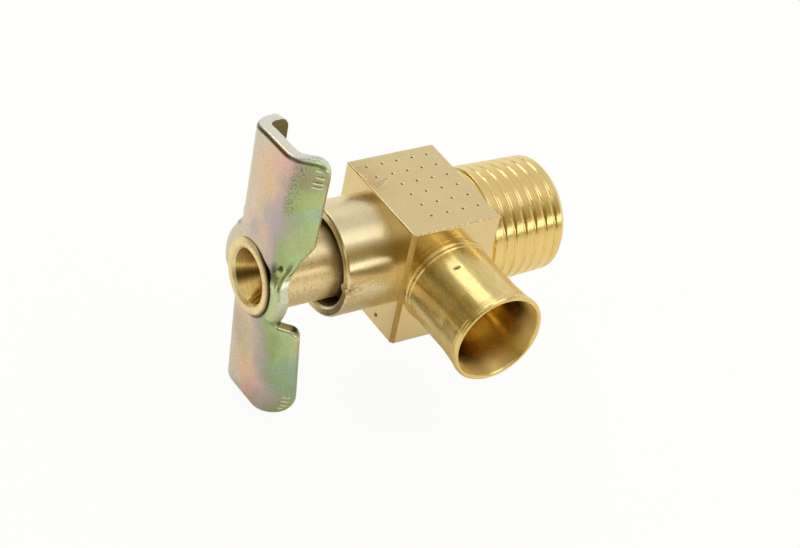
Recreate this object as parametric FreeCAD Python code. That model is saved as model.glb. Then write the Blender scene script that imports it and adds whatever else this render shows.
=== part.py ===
import FreeCAD, Part
import math
import os

# Drain cock in millimetres.
# X runs along the pipe thread and out of it, -Y along the spout, Z up.
# The origin lies on the thread axis at the shoulder where the thread leaves the block.

V = FreeCAD.Vector
AXIS_X = V(1, 0, 0)
AXIS_Y = V(0, 1, 0)

# Inlet thread, 1/4-18 NPT, drawn as its crest cone
thread_end_radius = 6.63
thread_length = 11.55
thread_taper = 1.0 / 32.0
thread_neck = 1.5
neck_relief = 0.25
thread_lead_in = 0.75
inlet_radius = 3.2
seat_start = -1.2

# Square block
block_length = 11.25
block_height = 15.0
block_spout_side = 7.85
block_far_side = 6.42
block_edge = 0.45
block_break = 0.12

# Collar and stem bore
collar_radius = 6.35
collar_length = 6.15
collar_edge = 0.2
bore_radius = 5.19
mouth_chamfer = 0.25

# Spout
spout_axis_x = -5.54
spout_end = 18.4
spout_radius = 5.19
spout_bore = 4.62
spout_bore_floor = 6.7
port_radius = 3.4
lip_radius = 5.6
lip_land = 1.15
lip_sweep = 1.3
lip_round = 0.7
root_bead = 0.15

# Stem
shank_radius = 4.21
shank_back = 24.4
thread_fit = 0.06
turn_fit = 0.03
seat_fit = 0.03
pitch_stem = 1.27
turns_to_close = 1.5
turns_to_open = 1.0
nose_radius = 3.95
tip_radius = 1.6
land_length = 5.6
neck_radius = 3.75
rim_radius = 4.41
rim_height = 0.3
rim_round = 0.25
rim_slope = 0.42
rim_edge = 0.08
end_hole_radius = 3.11
end_hole_depth = 6.0
drill_half_angle = 59.0

# Stake that keeps the stem in the collar
stake_angle = 178.0
stake_width = 0.85
stake_length = 1.35
stake_depth = 0.45
stake_reach = 0.5

# Pressed handle
sheet = 1.55
hub_radius = 5.75
hub_roll = 0.5
hub_shift = 0.13
hub_lift = 0.15
hub_root = 0.7
hub_near_top = 1.8
hub_near_low = 3.3
hub_far_top = 4.8
hub_far_low = 1.2
wing_overlap = 0.5
wing_tip = 16.65
wing_sweep = 4.3
wing_flare = 4.3
web_near = 2.2
web_far_top = 1.8
web_far_low = 1.55
bend_outer = 2.7
near_fold = 57.0
near_flange_top = 2.95
near_flange_low = 2.7
near_start_top = 3.6
near_start_low = 4.5
near_hub_corner = 2.6
near_corner_top = 1.8
near_corner_low = 2.5
far_fold = 80.0
far_flange = 2.0
far_start_top = 4.6
far_start_low = 4.6
far_corner = 0.8
far_tip_corner = 1.3
far_rise_top = 0.1
far_rise_low = 0.15
wings_raised = 0.35
handle_turn = -3.2

collar_mouth = -block_length - collar_length
close_travel = turns_to_close * pitch_stem
open_travel = turns_to_open * pitch_stem
wing_start = shank_radius + wings_raised + turn_fit


def turned(points, place):
    """Solid of revolution from (along, radius) points about the axis of the given placement."""
    closed = [V(a, r, 0) for a, r in points]
    closed.append(closed[0])
    face = Part.Face(Part.makePolygon(closed))
    solid = face.revolve(V(0, 0, 0), AXIS_X, 360)
    solid.Placement = place
    return solid


def box(x0, x1, y0, y1, z0, z1):
    return Part.makeBox(x1 - x0, y1 - y0, z1 - z0, V(x0, y0, z0))


def edges_where(shape, test):
    return [e for e in shape.Edges if test(e)]


def along(edge, axis):
    return len(edge.Vertexes) == 2 and abs(edge.tangentAt(edge.FirstParameter).dot(axis)) > 0.999


ON_X = FreeCAD.Placement()
ON_SPOUT = FreeCAD.Placement(V(spout_axis_x, 0, 0), FreeCAD.Rotation(AXIS_X, V(0, -1, 0)))


# Body: block, collar, thread nipple and spout are one piece of brass
def make_body():
    block = box(-block_length, 0, -block_spout_side, block_far_side, -block_height / 2, block_height / 2)
    front = edges_where(block, lambda e: along(e, V(0, 0, 1)) and e.BoundBox.XMax < -block_length + 1e-6
                        and e.BoundBox.YMax < -block_spout_side + 1e-6)
    block = block.makeChamfer(block_edge, front)
    level = edges_where(block, lambda e: along(e, AXIS_Y) or along(e, AXIS_X))
    block = block.makeChamfer(block_break, level)

    crest_root = thread_end_radius + (thread_length - thread_neck) * thread_taper
    nipple = turned([
        (-1.0, 0),
        (-1.0, crest_root - neck_relief),
        (thread_neck - neck_relief, crest_root - neck_relief),
        (thread_neck, crest_root),
        (thread_length - thread_lead_in, thread_end_radius + thread_lead_in * thread_taper),
        (thread_length, thread_end_radius - thread_lead_in),
        (thread_length, 0),
    ], ON_X)

    collar = Part.makeCylinder(collar_radius, collar_length + 1.0, V(collar_mouth, 0, 0), AXIS_X)
    rim = edges_where(collar, lambda e: abs(e.BoundBox.XMax - collar_mouth) < 1e-6)
    collar = collar.makeChamfer(collar_edge, rim)

    lip_start = spout_end - lip_land
    sweep_start = lip_start - lip_sweep
    spout = turned([
        (block_spout_side - 1.0, 0),
        (block_spout_side - 1.0, spout_radius + root_bead),
        (block_spout_side + root_bead, spout_radius + root_bead),
        (block_spout_side + 2 * root_bead, spout_radius),
        (sweep_start, spout_radius),
        (sweep_start + lip_sweep * 0.55, spout_radius + (lip_radius - spout_radius) * 0.3),
        (lip_start, lip_radius),
        (spout_end, lip_radius),
        (spout_end, 0),
    ], ON_SPOUT)
    end_edge = edges_where(
        spout,
        lambda e: e.BoundBox.YMax < -spout_end + 1e-6 and abs(e.BoundBox.ZMax - lip_radius) < 1e-6,
    )
    spout = spout.makeFillet(lip_round, end_edge)

    solid = block.fuse([nipple, collar, spout])

    # Stem bore with its seat, then the inlet beyond the seat
    seat_back = seat_start - (bore_radius - inlet_radius)
    bore = turned([
        (collar_mouth - 1.0, 0),
        (collar_mouth - 1.0, bore_radius + mouth_chamfer + 1.0),
        (collar_mouth + mouth_chamfer, bore_radius),
        (seat_back, bore_radius),
        (seat_start, inlet_radius),
        (thread_length + 1.0, inlet_radius),
        (thread_length + 1.0, 0),
    ], ON_X)

    # Spout bore with a drilled floor and the port into the stem bore
    floor_cone = (spout_bore - port_radius) / math.tan(math.radians(drill_half_angle))
    passage = turned([
        (0, 0),
        (0, port_radius),
        (spout_bore_floor - floor_cone, port_radius),
        (spout_bore_floor, spout_bore),
        (spout_end + 1.0, spout_bore),
        (spout_end + 1.0, 0),
    ], ON_SPOUT)
    solid = solid.cut(bore.fuse(passage))

    # Stake: a punched slot outside and the metal it drives into the bore
    slot = box(collar_mouth - 0.5, collar_mouth + stake_length, collar_radius - stake_depth,
               collar_radius + 1.0, -stake_width / 2, stake_width / 2)
    spur = box(collar_mouth + mouth_chamfer, collar_mouth + stake_length, bore_radius - stake_reach,
               bore_radius + 0.3, -stake_width / 2, stake_width / 2)
    for shape in (slot, spur):
        shape.rotate(V(0, 0, 0), AXIS_X, stake_angle)
    return solid.cut(slot).fuse(spur).removeSplitter()


# Stem: one turned piece, its hollow end swaged over the handle
def make_stem():
    land_radius = bore_radius - thread_fit
    shoulder = collar_mouth + stake_length + open_travel + seat_fit
    land_front = shoulder + land_length
    cone_front_closed = seat_start + inlet_radius - tip_radius
    tip = cone_front_closed - close_travel - seat_fit * math.sqrt(2)
    cone_back = tip - (nose_radius - tip_radius)
    hub_front = -shank_back - sheet
    rim_under = hub_front - turn_fit
    rim_front = rim_under - rim_height
    hole_floor = rim_front + end_hole_depth
    hole_point = hole_floor + end_hole_radius / math.tan(math.radians(drill_half_angle))
    stem = turned([
        (rim_front, end_hole_radius),
        (rim_front, rim_radius - rim_slope),
        (rim_under - rim_edge, rim_radius),
        (rim_under, rim_radius),
        (rim_under, neck_radius),
        (-shank_back + turn_fit, neck_radius),
        (-shank_back + turn_fit, shank_radius),
        (shoulder, shank_radius),
        (shoulder, land_radius),
        (land_front, land_radius),
        (land_front + land_radius - nose_radius, nose_radius),
        (cone_back, nose_radius),
        (tip, tip_radius),
        (tip, 0),
        (hole_point, 0),
        (hole_floor, end_hole_radius),
    ], ON_X)
    mouth = edges_where(
        stem,
        lambda e: abs(e.BoundBox.XMax - rim_front) < 1e-6 and abs(e.BoundBox.ZMax - end_hole_radius) < 1e-6,
    )
    return stem.makeFillet(rim_round, mouth)


# Handle: one pressing with a flat hub and two channel wings folded back
def bend_piece(fold, length):
    """Quarter-ring style bend: starts flat at y = 0 and folds toward -Y and +X."""
    ring = Part.makeCylinder(bend_outer, length, V(bend_outer, 0, 0), V(0, 0, 1), fold)
    core = Part.makeCylinder(bend_outer - sheet, length, V(bend_outer, 0, 0), V(0, 0, 1), fold)
    arc = ring.cut(core)
    arc.rotate(V(bend_outer, 0, 0), V(0, 0, 1), 180)
    return arc


def flange_piece(fold, depth, length, corners):
    """Plate that carries on from the bend, with its two free corners rounded."""
    plate = box(0, sheet, -depth, 0, 0, length)
    for level, radius in corners:
        edge = edges_where(
            plate,
            lambda e: along(e, AXIS_X) and e.BoundBox.YMax < -depth + 1e-6
            and abs(e.BoundBox.ZMax - level) < 1e-6,
        )
        plate = plate.makeFillet(radius, edge)
    plate.rotate(V(bend_outer, 0, 0), V(0, 0, 1), fold)
    return plate


def side(fold, depth, start, end, corners):
    """Bend and flange from z = start to z = end, folding toward -Y from the line y = 0."""
    length = end - start
    both = bend_piece(fold, length).fuse(flange_piece(fold, depth, length, corners(length)))
    both.translate(V(0, 0, start))
    return both


def make_wing(near_start, near_flange, near_corner, web_far, far_start, far_rise):
    """Upper wing with its front face at x = 0 and the hub centre on the X axis."""
    tip = wing_tip - wing_start
    near = side(near_fold, near_flange, near_start - wing_start, tip,
                lambda n: ((0, near_hub_corner), (n, near_corner)))
    near.translate(V(0, -web_near, 0))
    far_tip = tip + far_rise
    far = side(far_fold, far_flange, far_start - wing_start, far_tip,
               lambda n: ((0, far_corner), (n, far_tip_corner)))
    far = far.mirror(V(0, 0, 0), AXIS_Y)
    far.rotate(V(0, 0, 0), AXIS_X, -wing_flare)
    far.translate(V(0, web_far, 0))
    spread = math.tan(math.radians(wing_flare)) * far_tip
    corners = [
        V(0, -web_near, 0),
        V(0, web_far, 0),
        V(0, web_far + spread, far_tip),
        V(0, -web_near, tip),
        V(0, -web_near, 0),
    ]
    web = Part.Face(Part.makePolygon(corners)).extrude(V(sheet, 0, 0))
    wing = web.fuse([near, far])
    wing.rotate(V(0, 0, 0), AXIS_Y, wing_sweep)
    wing.translate(V(0, 0, wing_start))
    return wing


def quarters(rim, web, top, low, root):
    """Zone of one side of the hub: from the web's edge out to the rim, with sloping upper and lower sides."""
    centre = -wings_raised
    corners = [
        V(-1, 0, centre - root),
        V(-1, web, centre - root),
        V(-1, rim, -low),
        V(-1, rim, top),
        V(-1, web, centre + root),
        V(-1, 0, centre + root),
        V(-1, 0, centre - root),
    ]
    return Part.Face(Part.makePolygon(corners)).extrude(V(sheet + 2, 0, 0))


def make_handle():
    hub = turned([
        (0, 0),
        (0, hub_radius - hub_roll),
        (hub_roll * 0.3, hub_radius - hub_roll * 0.3),
        (hub_roll, hub_radius),
        (sheet, hub_radius),
        (sheet, 0),
    ], ON_X)
    hub.translate(V(0, -hub_shift, hub_lift))
    hole_radius = neck_radius + turn_fit
    near_root = math.sqrt(hole_radius ** 2 - web_near ** 2) + hub_root
    far_root = math.sqrt(hole_radius ** 2 - web_far_low ** 2) + hub_root
    near_zone = quarters(-hub_radius - hub_shift, -web_near, hub_near_top, hub_near_low, near_root)
    far_zone = quarters(hub_radius, web_far_low, hub_far_top, hub_far_low, far_root)
    root = wing_start + wing_overlap
    spine = box(-1, sheet + 1, -web_near, web_far_low, -root, root)
    hub = hub.common(near_zone.fuse([far_zone, spine]))
    upper = make_wing(near_start_top, near_flange_top, near_corner_top,
                      web_far_top, far_start_top, far_rise_top)
    lower = make_wing(near_start_low, near_flange_low, near_corner_low,
                      web_far_low, far_start_low, far_rise_low)
    lower = lower.mirror(V(0, 0, 0), V(0, 0, 1))
    handle = hub.fuse([upper, lower])
    handle.translate(V(0, 0, wings_raised))
    hole = Part.makeCylinder(hole_radius, 4 * sheet, V(-2 * sheet, 0, 0), AXIS_X)
    handle = handle.cut(hole).removeSplitter()
    handle.rotate(V(0, 0, 0), AXIS_X, handle_turn)
    handle.translate(V(-shank_back - sheet, 0, 0))
    return handle


os.makedirs("parts", exist_ok=True)
for name, make in (("body", make_body), ("stem", make_stem), ("handle", make_handle)):
    shape = make()
    if shape.ShapeType != "Solid":
        shape = shape.Solids[0] if len(shape.Solids) == 1 else shape
    print(name, shape.ShapeType, len(shape.Solids), shape.isValid(), round(shape.Volume, 1), shape.BoundBox)
    shape.exportStep("parts/" + name + ".step")
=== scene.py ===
import math

import bpy
import numpy as np
from mathutils import Matrix, Vector, geometry, noise


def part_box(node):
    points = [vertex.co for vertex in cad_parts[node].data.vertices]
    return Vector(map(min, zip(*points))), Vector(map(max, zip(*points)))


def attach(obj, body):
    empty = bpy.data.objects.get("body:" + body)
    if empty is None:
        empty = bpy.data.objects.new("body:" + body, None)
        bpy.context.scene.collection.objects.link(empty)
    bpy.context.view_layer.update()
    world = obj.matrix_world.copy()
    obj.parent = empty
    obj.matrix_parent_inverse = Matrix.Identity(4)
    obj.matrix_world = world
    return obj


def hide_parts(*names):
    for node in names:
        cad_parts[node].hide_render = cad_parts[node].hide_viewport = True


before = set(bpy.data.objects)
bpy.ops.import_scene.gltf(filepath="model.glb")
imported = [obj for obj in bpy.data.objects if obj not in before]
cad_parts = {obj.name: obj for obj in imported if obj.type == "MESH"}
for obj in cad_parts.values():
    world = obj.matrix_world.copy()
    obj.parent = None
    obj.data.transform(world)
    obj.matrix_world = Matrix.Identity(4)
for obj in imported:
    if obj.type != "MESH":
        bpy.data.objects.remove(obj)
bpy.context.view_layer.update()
scene = bpy.context.scene
scene.view_settings.view_transform = "Standard"

# Shapes are worked out in millimetres in the frame of the CAD model.
MM = 0.001

# Inlet nipple
THREAD_END_RADIUS = 6.63
THREAD_LENGTH = 11.55
THREAD_TAPER = 1 / 32
THREAD_PITCH = 1.411
THREAD_PHASE = 0.777
THREAD_DEPTH = 0.13
GROOVE_HALF_WIDTH = 0.24
THREAD_RUN_IN = (0.2, 1.0)
THREAD_RUN_OUT = (0.55, 1.0)
THREAD_NECK = 1.5
NECK_RELIEF = 0.25
THREAD_LEAD_IN = 0.75
NIPPLE_BACK = -1.0
NIPPLE_BACK_RADIUS = 6.0
END_FACE_RADIUS = 5.9
INLET_RADIUS = 3.2
INLET_CHAMFER = 0.25
SEAT_START = -1.2

# Block, with its broken upright edge, jaw dents, scratches, pit and burr
BLOCK_LOW = (-11.25, -7.85, -7.5)
BLOCK_HIGH = (0.0, 6.42, 7.5)
EDGE_RADIUS = 0.16
BROKEN_EDGE = 0.45
BROKEN_EDGE_ENDS = 0.1
SPOUT_OPENING = 4.95
INLET_OPENING = 5.0
DENT_DEPTH = 0.16
DENT_RADIUS = 0.24
DENT_LIP = 0.012
DENT_LIP_RADIUS = 0.28
DENT_LIP_WIDTH = 0.07
DENT_REACH = 0.5
DENT_SHADE_DEPTH = 0.11
SCRATCH_DEPTH = 0.07
SCRATCH_HALF_WIDTH = 0.13
PIT = (-4.23, -6.09)
PIT_DEPTH = 0.2
PIT_RADIUS = 0.24
BURR_HEIGHT = 0.11
BURR_WIDTH = 0.22
UNDERSIDE_SHIFT = 0.3

# Collar and stem bore
COLLAR_MOUTH = -17.4
COLLAR_RADIUS = 6.35
COLLAR_INSIDE = -13.0
COLLAR_EDGE = 0.2
COLLAR_OVERLAP = 0.3
BORE_RADIUS = 5.19
BORE_CHAMFER = 0.25
STAKE_ANGLE = math.radians(177)
STAKE_ACROSS = 1.8
STAKE_ALONG = 3.2
STAKE_BED = 0.24
STAKE_RAGGED = 0.16
STAKE_LIFT = 0.08
STAKE_CROSS = 0.10
STAKE_TAIL = 0.09
SPUR_HEIGHT = 0.42

# Spout
SPOUT_X = -5.54
SPOUT_ROOT = 7.3
SPOUT_END = 18.4
SPOUT_RADIUS = 5.19
SPOUT_BORE = 4.62
SPOUT_FLOOR = 6.7
LIP_RADIUS = 5.6
PORT_RADIUS = 3.4
PORT_START = 5.97
PORT_END = 3.9
ROOT_BEAD = 0.15
SECOND_BEAD = 0.09
NICK_ALONG = 11.25
NICK_ANGLE = 110.8
NICK_DEPTH = 0.13
NICK_HALF_WIDTH = 0.17
NICK_HALF_ANGLE = 6.0
NICK_SLANT = 0.012
NICK_REACH = 0.6

# Stem
SHANK_RADIUS = 4.21
SHANK_BACK = -24.4
RIM_FRONT = -26.28
RIM_RADIUS = 4.41
RIM_LENGTH = 0.3
NECK_RADIUS = 3.75
END_HOLE_RADIUS = 3.11
FUNNEL_RADIUS = 1.2
FUNNEL_DEPTH = 4.2
DRILL_DEPTH = 5.3
DRILL_POINT = 6.0
LAND_START = -14.75
LAND_END = -9.15
LAND_RADIUS = BORE_RADIUS - 0.06
CONE_RADIUS = 3.95
TIP_RADIUS = 1.6

# Handle
SHEET = 1.55
HUB_RADIUS = 5.65
HUB_NEAR = 5.97
HUB_HOLE_RADIUS = NECK_RADIUS + 0.03
WING_START = 4.59
WING_TIP = 16.65
WING_SWEEP = math.radians(4.3)
SWEEP_EASE = 0.6
WING_FLARE = math.radians(4.3)
WEB_NEAR = 2.2
WEB_FAR_TOP = 1.8
WEB_FAR_LOW = 1.55
BEND_OUTER = 2.7
NEAR_FOLD = math.radians(57)
NEAR_FLANGE_TOP = 2.95
NEAR_FLANGE_LOW = 2.7
FAR_FOLD = math.radians(80)
FAR_FLANGE = 2.0
FAR_RISE_TOP = 0.1
FAR_RISE_LOW = 0.15
WINGS_RAISED = 0.35
HANDLE_TURN = math.radians(-3.2)

# Heights on the wings between which each fold grows from flat to full
NEAR_FOLD_TOP = (1.2, 4.6)
NEAR_FOLD_LOW = (2.9, 5.4)
FAR_FOLD_TOP = (4.2, 6.2)
FAR_FOLD_LOW = (2.8, 5.2)

# Edges and marks of the sheet
ROLL, ROLL_DEPTH, BURR = 0.6, 0.5, 0.1
DIMPLE = (-4.65, 3.3)
DIMPLE_DEPTH = 0.22
DIMPLE_RADIUS = 0.42
# Depth at which the dimple's painted shade is full
DIMPLE_SHADE_DEPTH = 0.18
RIDGES_TOP = [(-6.8, 15.75), (-6.95, 14.95), (-6.7, 14.25), (-6.7, 13.75)]
RIDGES_LOW = [(-6.7, -14.2), (-6.6, -14.75), (-6.5, -15.3), (-6.3, -15.75)]
RIDGES = RIDGES_TOP + RIDGES_LOW
RIDGE_HEIGHT = 0.06
RIDGE_HALF_WIDTH = 0.15
RIDGE_HALF_LENGTH = 0.75
# Height at which the ridges' painted highlight is full
RIDGE_HIGHLIGHT_DEPTH = 0.04
# Painted shadow beside the stem's rim
SIDE_SHADOW = (-3.95, 2.9)
SIDE_SHADOW_WIDTH = 0.35
SIDE_SHADOW_HEIGHT = 0.9
# Painted highlight in pale zinc along a line over the hub lobe
LOBE_HIGHLIGHT = ((-5.6, 3.0), (-5.0, 1.2))
LOBE_HIGHLIGHT_WIDTH = 0.6
# Painted shade around the rim on the hub: radii where it fades, and rings of extra points for it
RIM_SHADE_RADII = (4.45, 4.65)
RIM_SHADE_RINGS = (4.3, 4.42, 4.54, 4.7)

# Mesh fineness: step along a profile and segments around it
THREAD_STEP, THREAD_SEGMENTS = 0.1, 180
COLLAR_STEP, COLLAR_SEGMENTS = 0.18, 220
SPOUT_STEP, SPOUT_SEGMENTS = 0.2, 144
SPOUT_BORE_STEP, SPOUT_BORE_SEGMENTS = 0.6, 112
STEM_STEP, STEM_SEGMENTS = 0.5, 160
INLET_SEGMENTS = 96
SKIN_STEP = 0.42
LOOP_STEP = 0.22
HUB_HOLE_SEGMENTS = 72


# Shape helpers
def smooth(value, low, high):
    """0 below low, 1 above high, eased between."""
    t = min(1.0, max(0.0, (value - low) / (high - low)))
    return t * t * (3 - 2 * t)


def tent(off, half_width):
    """1 in the middle, falling straight to 0 at the half width."""
    return max(0.0, 1 - abs(off) / half_width)


def hump(off, half_width):
    """1 in the middle, falling in a round curve to 0 at the half width."""
    return max(0.0, 1 - (off / half_width) ** 2)


def bell(off, width):
    """1 in the middle, fading away on both sides."""
    return math.exp(-(off / width) ** 2)


def line_distance(p, a, b):
    """Distance of a point from the line between a and b."""
    ax, ay = b[0] - a[0], b[1] - a[1]
    t = ((p[0] - a[0]) * ax + (p[1] - a[1]) * ay) / (ax * ax + ay * ay)
    t = min(1.0, max(0.0, t))
    return math.hypot(p[0] - a[0] - t * ax, p[1] - a[1] - t * ay)


# Mesh helpers
class Mesh:
    """Points and faces with a material number, gathered patch by patch.

    Painted light marks points: above 0 they get painted shade, below 0 a painted highlight."""

    def __init__(self):
        self.points = []
        self.faces = []
        self.materials = []
        self.painted_light = {}

    def grid(self, rows, material=0, closed=False):
        """Quads between rows of points. The side where columns cross rows is the outside."""
        start = len(self.points)
        n = len(rows[0])
        for row in rows:
            self.points.extend(row)
        for i in range(len(rows) - 1):
            for j in range(n if closed else n - 1):
                a = start + i * n + j
                b = start + i * n + (j + 1) % n
                self.faces.append((a, b, b + n, a + n))
                self.materials.append(material)

    def turned(self, profile, place, segments, material=0, shift=None, shade_depth=None):
        """Rings along a profile of (along, radius), with a radial shift by (along, angle, radius). Points the
        shift sinks get painted shade, full at the given depth.
        """
        rows = []
        for along, radius in profile:
            row = []
            for k in range(segments):
                angle = 2 * math.pi * k / segments
                moved = shift(along, angle, radius) if shift else 0.0
                if shade_depth and moved < 0:
                    index = len(self.points) + len(rows) * segments + k
                    self.painted_light[index] = min(1.0, -moved / shade_depth)
                row.append(place(along, radius + moved, angle))
            rows.append(row)
        self.grid(rows, material, closed=True)

    def make(self, name, materials, sharp=35):
        """The finished object, with edges sharper than an angle kept crisp."""
        mesh = bpy.data.meshes.new(name)
        mesh.from_pydata([Vector(p) * MM for p in self.points], [], self.faces)
        for m in materials:
            mesh.materials.append(m)
        mesh.polygons.foreach_set("material_index", self.materials)
        mesh.polygons.foreach_set("use_smooth", [True] * len(self.faces))
        mesh.set_sharp_from_angle(angle=math.radians(sharp))
        # Painted light of each point: painted shade above 0, painted highlight below 0
        painted_light = mesh.attributes.new("painted_light", "FLOAT", "POINT")
        painted_light.data.foreach_set("value", [self.painted_light.get(i, 0.0) for i in range(len(self.points))])
        mesh.update()
        obj = bpy.data.objects.new(name, mesh)
        scene.collection.objects.link(obj)
        return obj


def on_x(along, r, angle):
    return (along, r * math.cos(angle), r * math.sin(angle))


def on_spout(along, r, angle):
    return (SPOUT_X + r * math.cos(angle), -along, r * math.sin(angle))


def rounded(points, steps=4):
    """Open profile of (a, b) or (a, b, radius) points, with an arc at each point that has a radius."""
    out = []
    for i, p in enumerate(points):
        if len(p) == 2 or i in (0, len(points) - 1):
            out.append(p[:2])
            continue
        here = Vector(p[:2])
        back = Vector(points[i - 1][:2]) - here
        ahead = Vector(points[i + 1][:2]) - here
        half = back.angle(ahead) / 2
        reach = min(p[2] / math.tan(half), 0.49 * back.length, 0.49 * ahead.length)
        first = here + back.normalized() * reach
        last = here + ahead.normalized() * reach
        radius = reach * math.tan(half)
        toward = (back.normalized() + ahead.normalized()).normalized()
        centre = here + toward * radius / math.sin(half)
        start = first - centre
        sweep = start.angle_signed(last - centre)
        for k in range(steps + 1):
            turn = -sweep * k / steps
            c, s = math.cos(turn), math.sin(turn)
            out.append((centre.x + start.x * c - start.y * s, centre.y + start.x * s + start.y * c))
    return out


def divided(points, step):
    """The same profile with runs longer than step cut into equal lengths."""
    out = [points[0]]
    for a, b in zip(points, points[1:]):
        n = max(1, math.ceil(math.dist(a, b) / step))
        for k in range(1, n + 1):
            out.append((a[0] + (b[0] - a[0]) * k / n, a[1] + (b[1] - a[1]) * k / n))
    return out


# Material helpers
def new_material(name):
    material = bpy.data.materials.new(name)
    material.use_nodes = True
    tree = material.node_tree
    tree.nodes.clear()
    return material, tree


def node(tree, kind, inputs=(), **settings):
    """One shader node. Inputs are (socket, value or output socket) pairs."""
    made = tree.nodes.new("ShaderNode" + kind)
    for key, value in settings.items():
        setattr(made, key, value)
    for socket, value in inputs:
        if isinstance(value, bpy.types.NodeSocket):
            tree.links.new(value, made.inputs[socket])
        else:
            made.inputs[socket].default_value = value
    return made


def maths(tree, operation, *values):
    """Result of one sum on numbers or sockets."""
    return node(tree, "Math", enumerate(values), operation=operation).outputs[0]


def ramp(tree, fac, stops):
    made = node(tree, "ValToRGB", [(0, fac)])
    elements = made.color_ramp.elements
    while len(elements) < len(stops):
        elements.new(0.5)
    for element, (place, colour) in zip(elements, stops):
        element.position = place
        element.color = (*colour, 1)
    return made.outputs[0]


def grey_ramp(tree, fac, low, high, dark=0.0, light=1.0, curve="LINEAR"):
    """Dark at low, light at high, and a ramp between."""
    inputs = [(0, fac), (1, low), (2, high), (3, dark), (4, light)]
    return node(tree, "MapRange", inputs, interpolation_type=curve).outputs[0]


def mix(tree, fac, a, b):
    """Colour a, with colour b laid over it by a share."""
    made = node(tree, "Mix", data_type="RGBA")
    for socket, value in ((0, fac), (6, a), (7, b)):
        if isinstance(value, bpy.types.NodeSocket):
            tree.links.new(value, made.inputs[socket])
        elif isinstance(value, tuple):
            made.inputs[socket].default_value = (*value, 1)
        else:
            made.inputs[socket].default_value = value
    return made.outputs[2]


def millimetres(tree, scale=(1, 1, 1)):
    """Object coordinates in millimetres, stretched by scale."""
    coords = node(tree, "TexCoord").outputs["Object"]
    return node(tree, "Mapping", [(0, coords), (3, tuple(s / MM for s in scale))]).outputs[0]


def noise_node(tree, vector, scale, detail, roughness):
    inputs = [("Vector", vector), ("Scale", scale), ("Detail", detail), ("Roughness", roughness)]
    return node(tree, "TexNoise", inputs).outputs["Fac"]


# Share of painted light at each point: painted shade above 0, painted highlight below 0
def painted_light_share(tree):
    return node(tree, "Attribute", attribute_name="painted_light").outputs["Fac"]


def metal(tree, colour, rough, bump):
    """Metal surface at the end of a material's tree."""
    inputs = [("Base Color", colour), ("Metallic", 1.0), ("Roughness", rough), ("Normal", bump.outputs[0])]
    shader = node(tree, "BsdfPrincipled", inputs)
    node(tree, "OutputMaterial", [(0, shader.outputs[0])])
    return shader


def darker(tone, share):
    return tuple(share * c for c in tone)


# Brass
BRASS = (0.86, 0.69, 0.365)
SPECK = (0.24, 0.15, 0.05)
BRASS_PAINTED_SHADE = (0.075, 0.042, 0.012)
PAINTED_SHADE_ROUGHNESS = 0.4
STAIN = (0.50, 0.32, 0.14)
STAIN_X = (-7.5, -11.0)
STAIN_Y = (-2.5, 2.0)
MOUTH_LIT_TONE = (0.96, 0.71, 0.27)
MOUTH_DEPTH = 5.0
MOUTH_ROUGHNESS = 0.29
X_AXIS = (1.0, 0.0, 0.0)
Y_AXIS = (0.0, 1.0, 0.0)


def brass(name, grain, tone, gloss, speckle, streak=0.16, axis=None, spread=0.85, mouth=False, stained=False):
    """Machined brass. Grain stretches the tool lines and streak is their strength, gloss is the least
    roughness and speckle the strength of the fine dark spots. Turned surfaces spread light along their
    axis. Marked points get a dark brown painted shade and more roughness. Mouth makes the bore near the
    spout's end rougher and paints it lighter, as painted light near the opening; stained browns one corner of
    the top."""
    material, tree = new_material(name)
    plain = millimetres(tree)
    clouds = noise_node(tree, plain, 0.35, 3.0, 0.6)
    lines = noise_node(tree, millimetres(tree, grain), 1.0, 2.0, 0.55)
    spots = noise_node(tree, plain, 5.5 + 3.0 * speckle, 2.0, 0.6)
    painted_light = painted_light_share(tree)
    x, y, _ = node(tree, "SeparateXYZ", [(0, plain)]).outputs

    colour = mix(tree, clouds, darker(tone, 0.93), tone)
    colour = mix(tree, grey_ramp(tree, lines, 0.38, 0.62, 0.0, streak), colour, darker(tone, 0.62))
    spot_share = grey_ramp(tree, spots, 0.67 - 0.1 * speckle, 0.77 - 0.1 * speckle, 0.0, speckle)
    colour = mix(tree, spot_share, colour, SPECK)
    # Painted shade at marked points; the roughness below rises with it
    colour = mix(tree, grey_ramp(tree, painted_light, 0.15, 0.8, 0.0, 0.9), colour, BRASS_PAINTED_SHADE)

    rough = grey_ramp(tree, clouds, 0.3, 0.7, gloss, gloss + 0.06)
    rough = maths(tree, "ADD", rough, grey_ramp(tree, spots, 0.55, 0.8, 0.0, 0.12))
    rough = maths(tree, "MULTIPLY_ADD", painted_light, PAINTED_SHADE_ROUGHNESS, rough)
    if mouth:
        # Near the mouth the bore is rougher and painted lighter, as painted light near the opening
        near_mouth = grey_ramp(tree, y, -SPOUT_END, MOUTH_DEPTH - SPOUT_END, 1.0, 0.0, "SMOOTHERSTEP")
        colour = mix(tree, near_mouth, colour, MOUTH_LIT_TONE)
        rough = maths(tree, "MULTIPLY_ADD", near_mouth, MOUTH_ROUGHNESS, rough)
    if stained:
        corner = maths(tree, "MULTIPLY", grey_ramp(tree, x, *STAIN_X), grey_ramp(tree, y, *STAIN_Y))
        stain = maths(tree, "MULTIPLY", corner, grey_ramp(tree, clouds, 0.42, 0.62, 0.0, 0.5))
        colour = mix(tree, stain, colour, STAIN)

    bump = node(tree, "Bump", [("Height", lines), ("Strength", 0.12), ("Distance", 0.012 * MM)])
    bump = node(tree, "Bump", [("Height", spots), ("Strength", 0.05), ("Distance", 0.02 * MM),
                               ("Normal", bump.outputs[0])])
    shader = metal(tree, colour, rough, bump)
    if axis:
        along = node(tree, "CombineXYZ", enumerate(axis))
        tree.links.new(along.outputs[0], shader.inputs["Tangent"])
        shader.inputs["Anisotropic"].default_value = spread
    return material


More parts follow.
